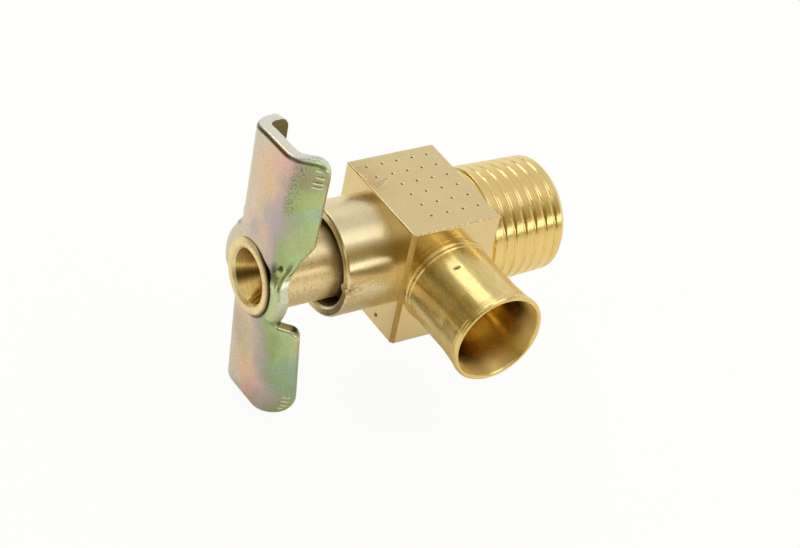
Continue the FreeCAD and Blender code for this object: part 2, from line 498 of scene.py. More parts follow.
# Grain, tone, gloss, speckle and streak of each machined surface
brass_top = brass("brass_top", (0.6, 6, 6), BRASS, 0.24, 0.45, stained=True)
# Block sides: the top's brass toned a little darker, as painted shade
brass_side_shaded = brass("brass_side_shaded", (7, 7, 0.5), (0.81, 0.65, 0.34), 0.14, 0.3)
# Broken edge: the brass toned much darker and browner, as painted shade
brass_edge_shaded = brass("brass_edge_shaded", (5, 5, 0.4), (0.54, 0.35, 0.10), 0.22, 0.6, 0.5)
brass_turned_x = brass("brass_turned_x", (13, 0.35, 0.35), (0.89, 0.76, 0.47), 0.25, 0.5, 0.25, X_AXIS)
brass_thread = brass("brass_thread", (13, 0.35, 0.35), (0.91, 0.69, 0.28), 0.20, 0.4, 0.2, X_AXIS, 0.5)
brass_turned_y = brass("brass_turned_y", (3.5, 0.5, 3.5), (0.90, 0.70, 0.29), 0.21, 0.4, 0.4, Y_AXIS)
brass_bored = brass("brass_bored", (3, 0.7, 3), (0.93, 0.67, 0.22), 0.16, 0.3, 0.3, Y_AXIS, mouth=True)
brass_funnel = brass("brass_funnel", (7, 0.6, 0.6), (0.86, 0.61, 0.20), 0.14, 0.5, 0.6, X_AXIS, 0.7)
brass_stem = brass("brass_stem", (11, 0.4, 0.4), (0.98, 0.82, 0.48), 0.36, 0.9, 0.25, X_AXIS, 0.5)

# Film on the handle: colours from the near edge to the far one, and patches as (y, z, reach, colour)
FILM_EDGES = (-6.7, 6.6)
FILM_STOPS = [
    (0.00, (0.72, 0.62, 0.54)),
    (0.07, (0.60, 0.66, 0.40)),
    (0.14, (0.48, 0.64, 0.34)),
    (0.20, (0.38, 0.50, 0.22)),
    (0.26, (0.44, 0.42, 0.37)),
    (0.32, (0.58, 0.47, 0.46)),
    (0.40, (0.72, 0.55, 0.46)),
    (0.50, (0.72, 0.59, 0.43)),
    (0.62, (0.77, 0.62, 0.54)),
    (0.74, (0.68, 0.63, 0.52)),
    (1.00, (0.66, 0.69, 0.59)),
]
PINK, ORANGE, TEAL = (0.84, 0.50, 0.52), (0.80, 0.57, 0.34), (0.38, 0.56, 0.47)
MAUVE, OLIVE, BROWN = (0.50, 0.44, 0.50), (0.50, 0.56, 0.26), (0.40, 0.33, 0.20)
TAN = (0.52, 0.45, 0.33)
FILM_PATCHES = [
    (-2.4, -13.2, 2.0, PINK),
    (-4.3, -13.0, 1.4, PINK),
    (-0.4, -11.2, 2.4, ORANGE),
    (-5.6, -9.5, 1.6, TEAL),
    (-5.8, -12.2, 1.4, TEAL),
    (-3.7, -14.4, 1.5, MAUVE),
    (-3.4, -16.2, 1.6, OLIVE),
    (-1.5, 9.3, 1.8, MAUVE),
    (-3.2, 8.2, 1.5, MAUVE),
    (-4.6, 14.8, 1.5, BROWN),
    (-4.6, 12.4, 1.3, OLIVE),
    (-5.6, 11.0, 1.3, TEAL),
    (-6.4, 12.8, 1.1, PINK),
    (1.2, -7.5, 3.2, TAN),
    (0.8, 13.0, 2.2, ORANGE),
    (-1.0, 15.2, 1.6, PINK),
    (-5.4, 7.0, 1.6, OLIVE),
    (0.6, 6.2, 1.6, MAUVE),
]
BARE_ZINC_AND_HIGHLIGHT = (0.80, 0.83, 0.71)
ZINC_SHADOW = (0.17, 0.12, 0.04)
ZINC_GRAIN = (0.36, 0.35, 0.27)
SCUFF = (0.10, 0.12, 0.06)
ZINC_PAINTED_SHADE = (0.035, 0.04, 0.015)


def chromate(name, bare_and_highlight=0.0, shadow=0.0):
    """Zinc plate with yellow chromate, whose film colours drift across the sheet. The bare share is pale
    zinc, partly bare metal and partly a painted highlight; the shadow share is painted shade, the dull brown
    of the sheet's inside. Marked points get a dark painted shade or a pale painted highlight."""
    material, tree = new_material(name)
    plain = millimetres(tree)
    blotch = noise_node(tree, plain, 0.42, 3.0, 0.62)
    drift = noise_node(tree, millimetres(tree, (1, 1, 0.3)), 0.5, 2.0, 0.5)
    grain = noise_node(tree, plain, 5.0, 3.0, 0.6)
    painted_light = painted_light_share(tree)
    _, across, height = node(tree, "SeparateXYZ", [(0, plain)]).outputs

    place = grey_ramp(tree, across, *FILM_EDGES)
    for wander in (drift, blotch):
        place = maths(tree, "MULTIPLY_ADD", wander, 0.14, place)
    place = maths(tree, "ADD", place, grey_ramp(tree, height, -4.0, -13.0, -0.14, 0.0))
    film = ramp(tree, place, FILM_STOPS)
    flat = millimetres(tree, (0, 1, 1))
    for y, z, reach, colour in FILM_PATCHES:
        away = node(tree, "VectorMath", [(0, flat), (1, (0.0, y, z))], operation="DISTANCE").outputs["Value"]
        away = maths(tree, "MULTIPLY_ADD", blotch, -2.4 * reach, away)
        film = mix(tree, grey_ramp(tree, away, 0.1 * reach, -0.9 * reach, 0.0, 0.7), film, colour)

    # The shadow share paints the sheet's inside dark brown as painted shade
    film = mix(tree, shadow, film, ZINC_SHADOW)
    # Pale zinc: bare metal on the edges, and a painted highlight where points are marked below 0
    pale_share = maths(tree, "MAXIMUM", grey_ramp(tree, painted_light, -0.1, -0.8), bare_and_highlight)
    film = mix(tree, pale_share, film, BARE_ZINC_AND_HIGHLIGHT)
    colour = mix(tree, grey_ramp(tree, grain, 0.5, 0.75, 0.0, 0.4), film, ZINC_GRAIN)

    # Scuffs along the upper wing's near bend
    on_bend = grey_ramp(tree, across, -4.1, -3.5)
    on_bend = maths(tree, "MULTIPLY", on_bend, grey_ramp(tree, across, -2.7, -3.2))
    on_bend = maths(tree, "MULTIPLY", on_bend, grey_ramp(tree, height, 9.5, 11.5))
    scuffs = maths(tree, "MULTIPLY", grey_ramp(tree, grain, 0.48, 0.66, 0.0, 0.75), on_bend)
    colour = mix(tree, scuffs, colour, SCUFF)
    # Painted shade at marked points
    colour = mix(tree, grey_ramp(tree, painted_light, 0.1, 0.8, 0.0, 0.9), colour, ZINC_PAINTED_SHADE)

    bump = node(tree, "Bump", [("Height", grain), ("Strength", 0.10), ("Distance", 0.05 * MM)])
    metal(tree, colour, grey_ramp(tree, grain, 0.3, 0.7, 0.22, 0.40), bump)
    return material


zinc = chromate("zinc_chromate")
# Sheared edges: pale bare zinc that is also a painted highlight
zinc_edge = chromate("zinc_edge", bare_and_highlight=0.75)
# The sheet's inside, darkened with painted shade
zinc_inside_shaded = chromate("zinc_inside_shaded", shadow=0.9)


# Body, with numbers for its surfaces and for the axes
TOP, SIDE, EDGE, TURNED_X, THREAD, TURNED_Y, BORED = range(7)
X, Y, Z = range(3)
body = Mesh()

# Jaw dents on the wrench flats, each row at its own y, and scratches from point to point
DENTS = [(x, y) for y, row in (
    (4.9, (-9.63, -7.58, -5.68, -3.65, -1.72)),
    (2.9, (-9.53, -7.44, -5.49, -3.58, -1.66)),
    (0.88, (-7.45, -5.46, -3.51, -1.49)),
    (-1.1, (-7.47, -5.49, -3.44, -1.43)),
    (-3.13, (-7.38, -5.36, -3.42, -1.31)),
    (-5.2, (-7.39, -5.33, -3.30, -1.31)),
) for x in row]
SCRATCHES = [
    ((-11.3, 4.5), (-10.9, 2.4)),
    ((-10.8, 1.55), (-8.4, 2.3)),
    ((-10.6, 1.2), (-9.2, 1.75)),
]


def dented(x, y):
    """Height of a wrench flat at (x, y): small conical dents with a low raised lip, and scratches."""
    height = 0.0
    for dx, dy in DENTS:
        away = math.hypot(x - dx, y - dy)
        if away < DENT_REACH:
            height -= DENT_DEPTH * tent(away, DENT_RADIUS)
            height += DENT_LIP * bell(away - DENT_LIP_RADIUS, DENT_LIP_WIDTH)
    for a, b in SCRATCHES:
        height -= SCRATCH_DEPTH * tent(line_distance((x, y), a, b), SCRATCH_HALF_WIDTH)
    return height


def top_height(p):
    """Height of the top, with a burr along its edge on the spout's side."""
    burr = bell(p.y - BLOCK_LOW[1], BURR_WIDTH) * smooth(-p.x, 0.8, 1.8)
    return dented(p.x, p.y) + BURR_HEIGHT * burr * noise.noise(Vector((p.x * 2.1, p.y * 2.1, 3.0)))


def underside_height(p):
    """Height of the underside, which repeats the top's dents."""
    return dented(p.x + UNDERSIDE_SHIFT, -p.y)


def front_height(p):
    """Height of the front, which has one small pit."""
    return -PIT_DEPTH * tent(math.dist((p.y, p.z), PIT), PIT_RADIUS)


def lines(low, high, step, broken):
    """Grid lines across a face: close in the rounded edges, one where a broken edge ends, then even."""
    rim = [EDGE_RADIUS * (1 - math.tan(math.radians(45 * k / 3))) for k in (3, 2, 1)]
    first = BROKEN_EDGE if broken else EDGE_RADIUS
    width = high - low - first - EDGE_RADIUS
    count = max(1, round(width / step))
    even = [low + first + width * k / count for k in range(count + 1)]
    if broken:
        even.insert(0, low + EDGE_RADIUS)
    return [low + r for r in rim] + even + [high - r for r in reversed(rim)]


def over_broken_edge(p, margin):
    """True over the flat broken edge between front and spout side, less a margin."""
    reach = BROKEN_EDGE - margin
    return p.x < BLOCK_LOW[0] + reach and p.y < BLOCK_LOW[1] + reach


def block_corner(p):
    """The point moved onto the rounded edges, or onto the flat broken edge."""
    broken = over_broken_edge(p, margin=0.001)
    side = BROKEN_EDGE if broken else EDGE_RADIUS
    ease = (side, side, EDGE_RADIUS)
    inner = Vector(min(max(p[i], BLOCK_LOW[i] + ease[i]), BLOCK_HIGH[i] - ease[i]) for i in range(3))
    off = p - inner
    if broken and off.x < 0 and off.y < 0:
        flat = BROKEN_EDGE / (abs(off.x) + abs(off.y))
        off.x *= flat
        off.y *= flat
        return inner + off
    return inner + off.normalized() * EDGE_RADIUS


def block_face(axis, sign, column, row, material, step, height=None, hole=None):
    """One face of the block out to the middle of its edges, without the faces in a hole (centre, radius)."""
    columns = lines(BLOCK_LOW[column], BLOCK_HIGH[column], step, broken=axis != Z and column != Z)
    rows = lines(BLOCK_LOW[row], BLOCK_HIGH[row], step, broken=axis != Z and row != Z)
    level = BLOCK_HIGH[axis] if sign > 0 else BLOCK_LOW[axis]
    points = []
    for v in rows:
        line = []
        for u in columns:
            p = Vector((0, 0, 0))
            p[axis], p[column], p[row] = level, u, v
            p = block_corner(p)
            if height:
                raised = height(p)
                p[axis] += sign * raised
                # Sunk points of the dents, scratches, pit and burr get painted shade by their depth
                index = len(body.points) + len(points) * len(columns) + len(line)
                body.painted_light[index] = max(0.0, -raised / DENT_SHADE_DEPTH)
            line.append(p)
        points.append(line)
    before = len(body.faces)
    body.grid(points, material)
    kept, surfaces = [], []
    for f in body.faces[before:]:
        middle = sum((Vector(body.points[i]) for i in f), Vector()) / 4
        if hole and math.dist((middle[column], middle[row]), hole[0]) < hole[1]:
            continue
        on_edge = over_broken_edge(middle, margin=0.02) and abs(middle.z) < BLOCK_HIGH[2] - BROKEN_EDGE_ENDS
        kept.append(f)
        surfaces.append(EDGE if on_edge else material)
    body.faces[before:] = kept
    body.materials[before:] = surfaces


block_face(Z, 1, X, Y, TOP, step=0.11, height=top_height)
block_face(Z, -1, Y, X, TOP, step=0.2, height=underside_height)
block_face(Y, -1, X, Z, SIDE, step=0.28, hole=((SPOUT_X, 0), SPOUT_OPENING))
block_face(Y, 1, Z, X, SIDE, step=0.6)
block_face(X, 1, Y, Z, SIDE, step=0.5, hole=((0, 0), INLET_OPENING))
block_face(X, -1, Z, Y, SIDE, step=0.19, height=front_height)


# Nipple with its shallow right-hand thread
def thread_groove(along, angle, radius):
    """Shift of the nipple's surface into the helical groove, which runs in and out gently."""
    turn = ((along - THREAD_PHASE) / THREAD_PITCH - angle / (2 * math.pi)) % 1.0
    away = min(turn, 1 - turn) * THREAD_PITCH
    depth = THREAD_DEPTH * smooth(along - THREAD_NECK, *THREAD_RUN_IN)
    depth *= smooth(THREAD_LENGTH - along, *THREAD_RUN_OUT)
    return -depth * hump(away, GROOVE_HALF_WIDTH)


crest_root = THREAD_END_RADIUS + (THREAD_LENGTH - THREAD_NECK) * THREAD_TAPER
nipple = rounded([
    (NIPPLE_BACK, NIPPLE_BACK_RADIUS),
    (NIPPLE_BACK, crest_root - NECK_RELIEF),
    (THREAD_NECK - NECK_RELIEF, crest_root - NECK_RELIEF, 0.15),
    (THREAD_NECK, crest_root, 0.2),
    (THREAD_LENGTH - THREAD_LEAD_IN, THREAD_END_RADIUS + THREAD_LEAD_IN * THREAD_TAPER, 0.3),
    (THREAD_LENGTH, THREAD_END_RADIUS - THREAD_LEAD_IN, 0.12),
    (THREAD_LENGTH, INLET_RADIUS + INLET_CHAMFER, 0.05),
    (THREAD_LENGTH - INLET_CHAMFER, INLET_RADIUS, 0.05),
    (SEAT_START, INLET_RADIUS),
    (SEAT_START - BORE_RADIUS + INLET_RADIUS, BORE_RADIUS),
])
thread_part = [p for p in nipple if p[1] > END_FACE_RADIUS]
inlet_part = [thread_part[-1]] + [p for p in nipple if p[1] <= END_FACE_RADIUS]
body.turned(divided(thread_part, THREAD_STEP), on_x, THREAD_SEGMENTS, THREAD, thread_groove)
body.turned(inlet_part, on_x, INLET_SEGMENTS, BORED)


# Collar, with the stake punched into its rim
def stake(along, angle, radius):
    """A ragged bed with raised sides, a cut across it, a tail, and the spur it pushes into the bore."""
    off = (angle - STAKE_ANGLE) * COLLAR_RADIUS
    back = along - COLLAR_MOUTH
    if abs(off) > STAKE_ACROSS or back > STAKE_ALONG:
        return 0.0
    if radius <= BORE_RADIUS + 0.5:
        return -SPUR_HEIGHT * hump(off, 0.6) * (1 - smooth(back, 0.7, 1.5))
    ragged = noise.noise(Vector((along * 2.6, off * 2.6, 7.0)))
    bed = hump(off, 0.42) * (1 - smooth(back, 0.3, 1.9 + 0.4 * ragged))
    lift = bell(abs(off) - 0.62, 0.16) * (1 - smooth(back, 0.6, 2.1))
    cross = tent(off + 0.55 * back - 1.1, 0.11) * (1 - smooth(abs(off), 0.6, 1.2))
    tail = tent(off - 0.12 * back + 0.1, 0.1) * (1 - smooth(back, 2.0, 2.9))
    sunk = bed * (STAKE_BED + STAKE_RAGGED * ragged) + STAKE_CROSS * cross + STAKE_TAIL * tail
    return STAKE_LIFT * lift - sunk


collar = rounded([
    (COLLAR_INSIDE, BORE_RADIUS),
    (COLLAR_MOUTH + BORE_CHAMFER, BORE_RADIUS, 0.1),
    (COLLAR_MOUTH, BORE_RADIUS + BORE_CHAMFER, 0.1),
    (COLLAR_MOUTH, COLLAR_RADIUS - COLLAR_EDGE, 0.15),
    (COLLAR_MOUTH + COLLAR_EDGE, COLLAR_RADIUS, 0.2),
    (BLOCK_LOW[0] + COLLAR_OVERLAP, COLLAR_RADIUS),
])
before_collar = len(body.points)
# The stake's sunk points get painted shade by their depth
body.turned(divided(collar, COLLAR_STEP), on_x, COLLAR_SEGMENTS, TURNED_X, stake, shade_depth=1.2)
# Painted shade on the bore inside the collar, darker further in from the mouth
for i, (x, y, z) in enumerate(body.points[before_collar:], before_collar):
    if math.hypot(y, z) < BORE_RADIUS + 0.05:
        body.painted_light[i] = 0.8 * smooth(x, COLLAR_MOUTH + 0.2, COLLAR_MOUTH + 1.0)


# Spout: beaded root, tube, flared lip, drilled bore and port
def nick(along, angle, radius):
    """Shift of the spout's surface into one short slanted nick."""
    if radius < SPOUT_RADIUS - 0.1 or abs(along - NICK_ALONG) > NICK_REACH:
        return 0.0
    off = math.degrees(angle) - NICK_ANGLE
    middle = NICK_ALONG - NICK_SLANT * off
    return -NICK_DEPTH * hump(along - middle, NICK_HALF_WIDTH) * hump(off, NICK_HALF_ANGLE)


block_side = -BLOCK_LOW[1]
spout = rounded([
    (SPOUT_ROOT, SPOUT_RADIUS + ROOT_BEAD),
    (block_side + 0.2, SPOUT_RADIUS + ROOT_BEAD, 0.1),
    (block_side + 0.35, SPOUT_RADIUS + 0.02, 0.06),
    (block_side + 0.5, SPOUT_RADIUS + 0.02, 0.06),
    (block_side + 0.6, SPOUT_RADIUS + SECOND_BEAD, 0.06),
    (block_side + 0.75, SPOUT_RADIUS + SECOND_BEAD, 0.08),
    (block_side + 0.9, SPOUT_RADIUS, 0.1),
    (SPOUT_END - 3.5, SPOUT_RADIUS, 2.5),
    (SPOUT_END - 1.3, SPOUT_RADIUS + 0.2, 1.5),
    (SPOUT_END - 0.68, LIP_RADIUS - 0.1, 0.1),
    (SPOUT_END - 0.6, LIP_RADIUS - 0.14, 0.04),
    (SPOUT_END - 0.5, LIP_RADIUS - 0.05, 0.08),
    (SPOUT_END - 0.25, LIP_RADIUS - 0.05, 0.15),
    (SPOUT_END, LIP_RADIUS - 0.22, 0.12),
    (SPOUT_END, SPOUT_BORE + 0.46, 0.1),
    (SPOUT_END - 0.2, SPOUT_BORE + 0.34),
])
spout_bore = rounded([
    spout[-1],
    (SPOUT_END - 1.7, SPOUT_BORE + 0.05, 8.0),
    (SPOUT_END - 4.2, SPOUT_BORE, 80.0),
    (SPOUT_FLOOR, SPOUT_BORE, 0.1),
    (PORT_START, PORT_RADIUS, 0.05),
    (PORT_END, PORT_RADIUS),
])
# The nick's sunk points get painted shade by their depth
body.turned(divided(spout, SPOUT_STEP), on_spout, SPOUT_SEGMENTS, TURNED_Y, nick, shade_depth=0.1)
body.turned(divided(spout_bore, SPOUT_BORE_STEP), on_spout, SPOUT_BORE_SEGMENTS, BORED)
body_piece = body.make("body_dressed", [brass_top, brass_side_shaded, brass_edge_shaded, brass_turned_x, brass_thread,
                                        brass_turned_y, brass_bored])
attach(body_piece, "valve_body")
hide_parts("body")

# Stem, with a funnel for its end hole
OUTSIDE, FUNNEL = range(2)
stem = Mesh()
stem_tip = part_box("stem")[1].x / MM
stem_profile = rounded([
    (RIM_FRONT + DRILL_POINT, 0.01),
    (RIM_FRONT + DRILL_DEPTH, FUNNEL_RADIUS),
    (RIM_FRONT + FUNNEL_DEPTH, FUNNEL_RADIUS, 0.3),
    (RIM_FRONT + 0.4, END_HOLE_RADIUS, 0.2),
    (RIM_FRONT, END_HOLE_RADIUS + 0.28, 0.25),
    (RIM_FRONT, RIM_RADIUS - 0.42, 0.25),
    (RIM_FRONT + 0.22, RIM_RADIUS, 0.12),
    (RIM_FRONT + RIM_LENGTH, RIM_RADIUS, 0.03),
    (RIM_FRONT + RIM_LENGTH, NECK_RADIUS),
    (SHANK_BACK + 0.03, NECK_RADIUS),
    (SHANK_BACK + 0.03, SHANK_RADIUS, 0.15),
    (LAND_START, SHANK_RADIUS, 0.05),
    (LAND_START, LAND_RADIUS, 0.1),
    (LAND_END, LAND_RADIUS, 0.1),
    (LAND_END + LAND_RADIUS - CONE_RADIUS, CONE_RADIUS, 0.1),
    (stem_tip - CONE_RADIUS + TIP_RADIUS, CONE_RADIUS, 0.1),
    (stem_tip, TIP_RADIUS, 0.1),
    (stem_tip, 0.01),
])


def funnel_shade(x, y, z):
    """Painted light in the end hole: a dark band low on the far wall as painted reflection, painted shade on
    the rougher upper wall and painted shade on the floor.
    """
    band = bell(math.degrees(math.atan2(z, y)) + 35, 19)
    above = 0.6 * smooth(z / math.hypot(y, z), -0.35, 0.0)
    return 0.76 * max(band, above, smooth(x, RIM_FRONT + 1.6, RIM_FRONT + 3.6))


def rim_shade(x, y, z):
    """Painted shadow around the near side of the rim, most of it behind the rim."""
    near = smooth(-y / math.hypot(y, z), -0.1, 0.6)
    return near * (0.15 + 0.85 * smooth(x, RIM_FRONT + 0.1, RIM_FRONT + 0.25))


hole_part = [p for p in stem_profile if p[1] <= END_HOLE_RADIUS + 1e-6 and p[0] < LAND_START]
stem.turned(divided(hole_part, STEM_STEP), on_x, STEM_SEGMENTS, FUNNEL)
hole_points = len(stem.points)
stem.turned(divided(stem_profile[len(hole_part) - 1:], STEM_STEP), on_x, STEM_SEGMENTS, OUTSIDE)
for i, (x, y, z) in enumerate(stem.points):
    radius = math.hypot(y, z)
    if x < RIM_FRONT + RIM_LENGTH + 0.01 and radius > RIM_RADIUS - 0.45:
        stem.painted_light[i] = rim_shade(x, y, z)
    elif i < hole_points:
        stem.painted_light[i] = funnel_shade(x, y, z)
    # Painted shade on the shank inside the collar's mouth
    elif radius > SHANK_RADIUS - 0.2:
        stem.painted_light[i] = 0.7 * smooth(x, COLLAR_MOUTH - 0.1, COLLAR_MOUTH + 0.6)
stem_piece = stem.make("stem_dressed", [brass_stem, brass_funnel])
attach(stem_piece, "stem")
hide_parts("stem")

# Handle: one flat blank of sheet, folded into a hub and two channel wings
FRONT, CUT, BACK = range(3)
flare_c, flare_s = math.cos(WING_FLARE), math.sin(WING_FLARE)


def pressed(y, z):
    """Depth of the small marks in the front face: a dimple by the hub, and ridges near the flange tips."""
    depth = DIMPLE_DEPTH * tent(math.dist((y, z), DIMPLE), DIMPLE_RADIUS)
    for ry, rz in RIDGES:
        depth -= RIDGE_HEIGHT * hump(z - rz, RIDGE_HALF_WIDTH) * hump(y - ry, RIDGE_HALF_LENGTH)
    return depth


def bend(run, fold, depth):
    """Distance across and distance back for a run over a bend and the flange beyond it."""
    if fold < 1e-4:
        return run, depth
    turn = min(run / BEND_OUTER, fold)
    rest = max(0.0, run - BEND_OUTER * fold)
    radius = BEND_OUTER - depth
    across = radius * math.sin(turn) + rest * math.cos(turn)
    back = BEND_OUTER - radius * math.cos(turn) + rest * math.sin(turn)
    return across, back


def folded(y, z, depth):
    """Place of the blank's point (y, z) at a depth under its front face, after folding."""
    upper = z >= 0
    up = 1 if upper else -1
    z = abs(z)
    rise = z - WING_START
    near = -WEB_NEAR - y
    web_far = WEB_FAR_TOP if upper else WEB_FAR_LOW
    far = (y - web_far) * flare_c - max(0.0, rise) * flare_s
    back = depth
    if near > 0:
        fold = NEAR_FOLD * smooth(z, *(NEAR_FOLD_TOP if upper else NEAR_FOLD_LOW))
        across, back = bend(near, fold, depth)
        y = -WEB_NEAR - across
    elif far > 0:
        fold = FAR_FOLD * smooth(z, *(FAR_FOLD_TOP if upper else FAR_FOLD_LOW))
        across, back = bend(far, fold, depth)
        y += (across - far) * flare_c
        z -= (across - far) * flare_s
    lean = (math.hypot(rise, SWEEP_EASE) + rise) / 2
    x = back + math.sin(WING_SWEEP) * lean
    z -= (1 - math.cos(WING_SWEEP)) * lean + math.sin(WING_SWEEP) * back * smooth(rise, -1.0, 1.5)
    return (x, y, up * z)


def far_point(web_far, run, height):
    """Blank point at a run over the far bend and a height along the flared wing."""
    return (web_far + run * flare_c + height * flare_s, WING_START - run * flare_s + height * flare_c)


def arc(centre, radius, start, end):
    return [(centre + radius * math.cos(math.radians(a)), radius * math.sin(math.radians(a)))
            for a in np.linspace(start, end, 12)]


bend_run = BEND_OUTER * NEAR_FOLD
near_top = -WEB_NEAR - bend_run - NEAR_FLANGE_TOP
near_low = -WEB_NEAR - bend_run - NEAR_FLANGE_LOW
far_run = BEND_OUTER * FAR_FOLD + FAR_FLANGE
wing_run = WING_TIP - WING_START
upper_half = rounded([
    (-HUB_NEAR, 0.0),
    (-5.3, 2.3, 0.8),
    (-7.0, 4.7, 2.0),
    (near_top, 6.4, 1.5),
    (near_top, WING_TIP, 1.8),
    (WEB_FAR_TOP, WING_TIP),
    (*far_point(WEB_FAR_TOP, far_run, wing_run + FAR_RISE_TOP), 1.3),
    (*far_point(WEB_FAR_TOP, far_run, 0.9), 0.8),
    (3.95, 4.75, 0.25),
] + arc(0.0, HUB_RADIUS, 44, 0), steps=8)
lower_half = rounded(arc(HUB_RADIUS - HUB_NEAR, HUB_RADIUS, 180, 147) + [
    (-4.75, 3.75, 0.8),
    (-4.9, 4.5, 0.8),
    (near_low, 5.2, 2.8),
    (near_low, WING_TIP, 2.5),
    (WEB_FAR_LOW, WING_TIP),
    (*far_point(WEB_FAR_LOW, far_run, wing_run + FAR_RISE_LOW), 1.3),
    (*far_point(WEB_FAR_LOW, far_run, 0.5), 0.8),
    (3.3, 4.0, 0.3),
    (3.5, 3.1, 0.4),
    (4.85, 2.05, 0.8),
] + arc(0.0, HUB_RADIUS, 16, 0), steps=8)
outline = upper_half + [(y, -z) for y, z in reversed(lower_half)]


def resampled(loop, step):
    """A closed loop with long runs cut up, without its repeated points."""
    points = [p for i, p in enumerate(loop) if math.dist(p, loop[i - 1]) > 1e-6]
    points = divided(points + [points[0]], step)[:-1]
    return [p for i, p in enumerate(points) if math.dist(p, points[i - 1]) > 1e-3]


def inset(loop, distance):
    """The loop moved toward the sheet by a distance. The sheet lies on the right of the loop's run."""
    out = []
    for i, p in enumerate(loop):
        run = Vector(loop[(i + 1) % len(loop)]) - Vector(loop[i - 1])
        run.normalize()
        out.append((p[0] + run.y * distance, p[1] - run.x * distance))
    return out


def inside(point, loop):
    x, y = point
    hit = False
    for (x0, y0), (x1, y1) in zip(loop, loop[1:] + loop[:1]):
        if (y0 > y) != (y1 > y) and x < x0 + (y - y0) * (x1 - x0) / (y1 - y0):
            hit = not hit
    return hit


def mark_points():
    """Extra points of the front face, close together around the rim, the dimple and the ridges."""
    for k in range(100):
        angle = 2 * math.pi * k / 100
        for ring in RIM_SHADE_RINGS:
            yield (ring * math.cos(angle), ring * math.sin(angle) - WINGS_RAISED)
    for ring in (0.0, DIMPLE_RADIUS / 3, DIMPLE_RADIUS * 2 / 3, DIMPLE_RADIUS):
        for k in range(10):
            angle = math.radians(36 * k)
            yield (DIMPLE[0] + ring * math.cos(angle), DIMPLE[1] + ring * math.sin(angle))
    for ry, rz in RIDGES:
        for off in (-RIDGE_HALF_WIDTH, -0.1, -0.04, 0.04, 0.1, RIDGE_HALF_WIDTH):
            for k in range(-4, 5):
                yield (ry + 0.19 * k, rz + off)


def front_painted_light(y, z):
    """Painted shade in the dimple, a painted shadow beside it and painted shade around the stem's rim. Ridges
    and a line over the hub get a painted highlight.
    """
    depth = pressed(y, z)
    if depth < 0:
        return depth / RIDGE_HIGHLIGHT_DEPTH
    in_dimple = min(1.0, depth / DIMPLE_SHADE_DEPTH)
    beside = 0.9 * bell(y - SIDE_SHADOW[0], SIDE_SHADOW_WIDTH) * bell(z - SIDE_SHADOW[1], SIDE_SHADOW_HEIGHT)
    ring = math.hypot(y, z + WINGS_RAISED)
    by_rim = smooth(-y / ring, -0.2, 0.5) * (1 - smooth(ring, *RIM_SHADE_RADII))
    return max(in_dimple, beside, by_rim) - 0.7 * bell(line_distance((y, z), *LOBE_HIGHLIGHT), LOBE_HIGHLIGHT_WIDTH)


def skin(mesh, outer, hole, depth, material):
    """One face of the sheet, filled between its outer loop and the hole. The front has the marks."""
    front = material == FRONT
    points = list(outer) + list(hole)
    edges = [(i, (i + 1) % len(outer)) for i in range(len(outer))]
    edges += [(len(outer) + i, len(outer) + (i + 1) % len(hole)) for i in range(len(hole))]
    rim = np.array(points)
    grid = [((column + 0.5 * (row % 2)) * SKIN_STEP, row * SKIN_STEP * 0.95)
            for row in range(-43, 44) for column in range(-22, 24)]
    extra = list(mark_points()) if front else []
    for p in extra + [p for p in grid if not front or pressed(*p) == 0]:
        clear = 0.1 if p in extra else 0.22
        if np.min(np.hypot(rim[:, 0] - p[0], rim[:, 1] - p[1])) < clear:
            continue
        if inside(p, outer) and not inside(p, hole):
            points.append(p)
    corners, _, triangles, *_ = geometry.delaunay_2d_cdt([Vector(p) for p in points], edges, [], 0, 1e-5)
    start = len(mesh.points)
    for y, z in corners:
        if front:
            mesh.painted_light[len(mesh.points)] = front_painted_light(y, z)
        mesh.points.append(folded(y, z, depth + pressed(y, z) if front else depth))
    for face in triangles:
        middle = sum((corners[i] for i in face), Vector((0, 0))) / len(face)
        if inside(middle, outer) and not inside(middle, hole):
            ordered = list(reversed(face)) if front else face
            mesh.faces.append([start + i for i in ordered])
            mesh.materials.append(material)


def edge_painted_light(y, z, level, material):
    """Painted light on the sheet's edge: painted shade on the cut by the hub, and a dark line in the upper
    tip's roll as painted reflection. The roll's outer part gets a painted highlight in pale zinc."""
    if material == CUT:
        return 0.45 * smooth(-z, 3.8, 4.6) * smooth(z, -6.8, -5.8) * smooth(-y, 4.8, 5.4)
    on_tip = smooth(z, WING_TIP - 0.3, WING_TIP - 0.1) * smooth(y, -5.2, -3.8)
    line = 0.7 * on_tip * smooth(level, 0, 2) * smooth(-level, -6, -4)
    return line - 0.45 * smooth(level, 4, 8)


def sheared(mesh, loop, levels, material):
    """Edge of the sheet: the loop repeated at each (inset, depth) level."""
    rows = []
    for level, (distance, depth) in enumerate(levels):
        rows.append([folded(y, z, depth) for y, z in inset(loop, distance)])
        for k, (y, z) in enumerate(loop):
            mesh.painted_light[len(mesh.points) + level * len(loop) + k] = edge_painted_light(y, z, level, material)
    mesh.grid(rows, material, closed=True)


def quarter(step):
    """Angles of a quarter turn."""
    return [math.radians(a) for a in range(0, 91, step)]


